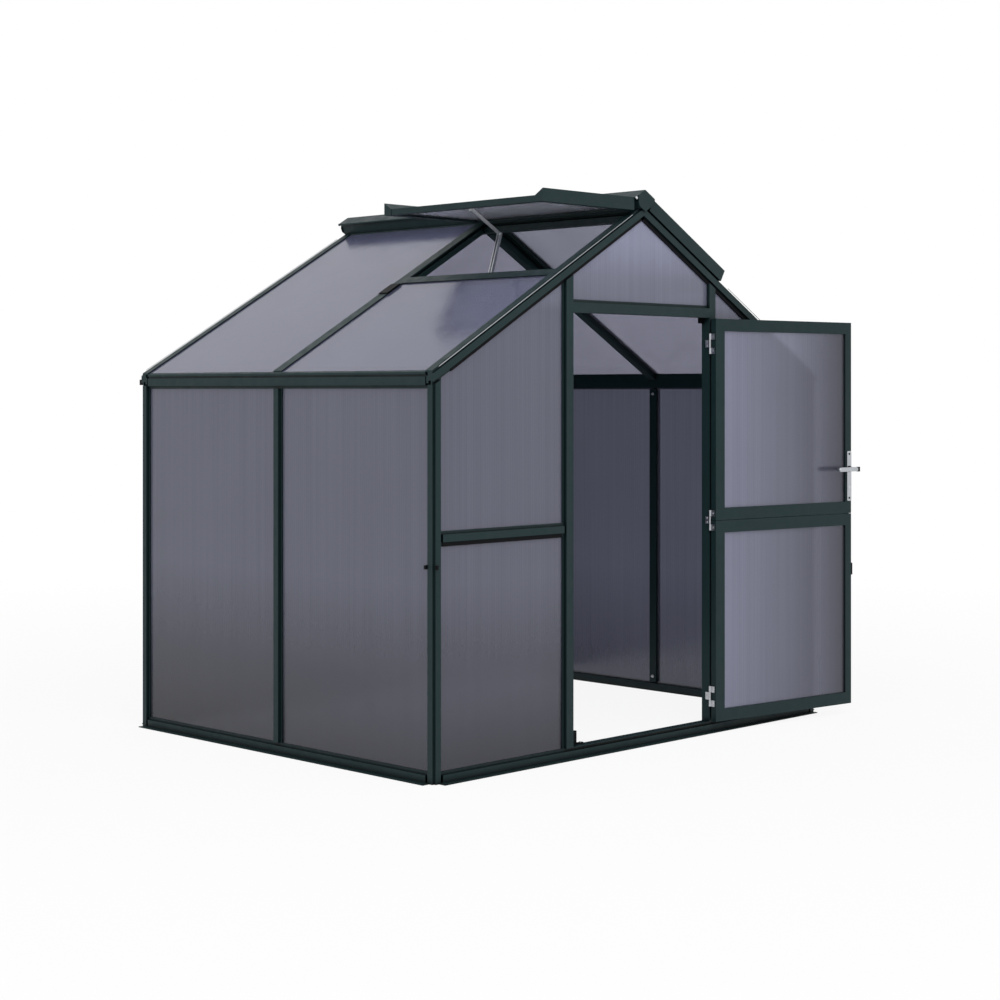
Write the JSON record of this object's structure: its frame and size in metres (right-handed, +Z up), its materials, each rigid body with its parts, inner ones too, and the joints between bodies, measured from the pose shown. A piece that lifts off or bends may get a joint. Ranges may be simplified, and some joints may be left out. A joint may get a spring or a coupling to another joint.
{
  "type": "garden greenhouse",
  "caption": "Walk-in garden greenhouse with slim metal glazing bars, tinted twin-wall panels, a stable door split into leaves and hinged roof vents on folding stays.",
  "frame": {"origin": "on the ground at the middle of the footprint, centred between the anchor holes", "axes": "+Z up, door front facing -Y, +X to the right when facing the door"},
  "size_m": [2.1418, 1.7733, 1.9345],
  "materials": {
    "green_frame": "satin dark green powder coat",
    "glazing": "tinted translucent twin-wall sheet with upright flutes",
    "plated_steel": "bright plated",
    "bare_aluminium": "satin",
    "black_plastic": "matte black"
  },
  "bodies": {
    "frame": {"base_rail_front": "green_frame", "base_rail_rear": "green_frame", "base_rails_side": "green_frame", "corner_posts_front": "green_frame", "corner_posts_rear": "green_frame", "side_posts": "green_frame", "door_post_left": "green_frame", "door_post_right": "green_frame", "rear_posts": "green_frame", "door_lintel": "green_frame", "front_mid_rails": "green_frame", "rear_mid_rails": "green_frame", "eaves_beams": "green_frame", "gutter_spigots": "black_plastic", "gable_rafters_front": "green_frame", "gable_rafters_rear": "green_frame", "middle_rafters": "green_frame", "vent_trimmers": "green_frame", "ridge_beam": "green_frame", "side_panels_left": "glazing", "side_panels_right": "glazing", "front_panels": "glazing", "rear_panels": "glazing", "roof_panels_left": "glazing", "roof_panels_right": "glazing", "door_sill_strip": "bare_aluminium", "door_stops": "black_plastic", "strike_plate": "plated_steel", "jamb_hinge_plates": "plated_steel", "hinge_pins": "plated_steel", "stay_base_brackets": "plated_steel"},
    "upper_leaf": {"upper_leaf_stiles": "green_frame", "upper_leaf_rails": "green_frame", "upper_leaf_panel": "glazing", "upper_leaf_hinge_tabs": "plated_steel", "handle_plates": "bare_aluminium"},
    "lever": {"inside_lever": "bare_aluminium", "outside_lever": "bare_aluminium", "handle_spindle": "plated_steel"},
    "latch": {"latch_bolt": "plated_steel"},
    "lower_leaf": {"lower_leaf_stiles": "green_frame", "lower_leaf_rails": "green_frame", "lower_leaf_panel": "glazing", "lower_leaf_hinge_tabs": "plated_steel", "lower_leaf_catch": "black_plastic"},
    "vent_left": {"vent_left_hinge_rail": "green_frame", "vent_left_side_rails": "green_frame", "vent_left_lower_rail": "green_frame", "vent_left_panel": "glazing", "vent_left_stay_bracket": "plated_steel"},
    "vent_right": {"vent_right_hinge_rail": "green_frame", "vent_right_side_rails": "green_frame", "vent_right_lower_rail": "green_frame", "vent_right_panel": "glazing", "vent_right_stay_bracket": "plated_steel"},
    "left_lower_arm": {"left_stay_lower_arm": "plated_steel"},
    "left_upper_arm": {"left_stay_upper_arm": "plated_steel"},
    "right_lower_arm": {"right_stay_lower_arm": "plated_steel"},
    "right_upper_arm": {"right_stay_upper_arm": "plated_steel"}
  },
  "joints": [
    {"name": "upper_leaf_hinge", "type": "hinge", "parent": "frame", "child": "upper_leaf", "pos_m": [0.36, -0.7895, 1.085], "axis": [0, 0, 1], "range_deg": [-172.5, 2]},
    {"name": "lower_leaf_hinge", "type": "hinge", "parent": "frame", "child": "lower_leaf", "pos_m": [0.36, -0.7895, 0.448], "axis": [0, 0, 1], "range_deg": [-172.5, 2]},
    {"name": "lever_turn", "type": "hinge", "parent": "upper_leaf", "child": "lever", "pos_m": [1.05589, -0.89725, 0.936], "axis": [-0.1305, -0.9914, 0], "range_deg": [0, 40], "stiffness_Nm_per_rad": 0.8, "springref_deg": -20.05},
    {"name": "latch_slide", "type": "slide", "parent": "upper_leaf", "child": "latch", "axis": [-0.9914, 0.1305, 0], "range_m": [0, 0.005]},
    {"name": "vent_left_hinge", "type": "hinge", "parent": "frame", "child": "vent_left", "pos_m": [-0.046, -0.39375, 1.90335], "axis": [0, 1, 0], "range_deg": [-30, 2]},
    {"name": "vent_right_hinge", "type": "hinge", "parent": "frame", "child": "vent_right", "pos_m": [0.046, -0.39375, 1.90335], "axis": [0, -1, 0], "range_deg": [0, 32]},
    {"name": "left_lower_arm_pivot", "type": "hinge", "parent": "frame", "child": "left_lower_arm", "pos_m": [-0.38589, -0.412, 1.63206], "axis": [0, 1, 0], "range_deg": [-3, 39]},
    {"name": "left_upper_arm_pivot", "type": "hinge", "parent": "vent_left", "child": "left_upper_arm", "pos_m": [-0.476, -0.412, 1.86035], "axis": [0, 1, 0], "range_deg": [-33, 3]},
    {"name": "right_lower_arm_pivot", "type": "hinge", "parent": "frame", "child": "right_lower_arm", "pos_m": [0.38589, -0.412, 1.63206], "axis": [0, -1, 0], "range_deg": [-41, 1]},
    {"name": "right_upper_arm_pivot", "type": "hinge", "parent": "vent_right", "child": "right_upper_arm", "pos_m": [0.39689, -0.412, 1.65111], "axis": [0, -1, 0], "range_deg": [-1, 27]}
  ],
  "couplings": [
    {"joint": "latch_slide", "follows": "lever_turn", "m_per_rad": 0.00716},
    {"joint": "left_lower_arm_pivot", "follows": "vent_left_hinge", "ratio": -1.26},
    {"joint": "left_upper_arm_pivot", "follows": "vent_left_hinge", "ratio": 0.98},
    {"joint": "right_lower_arm_pivot", "follows": "vent_right_hinge", "ratio": -1.22},
    {"joint": "right_upper_arm_pivot", "follows": "vent_right_hinge", "ratio": 0.8}
  ]
}
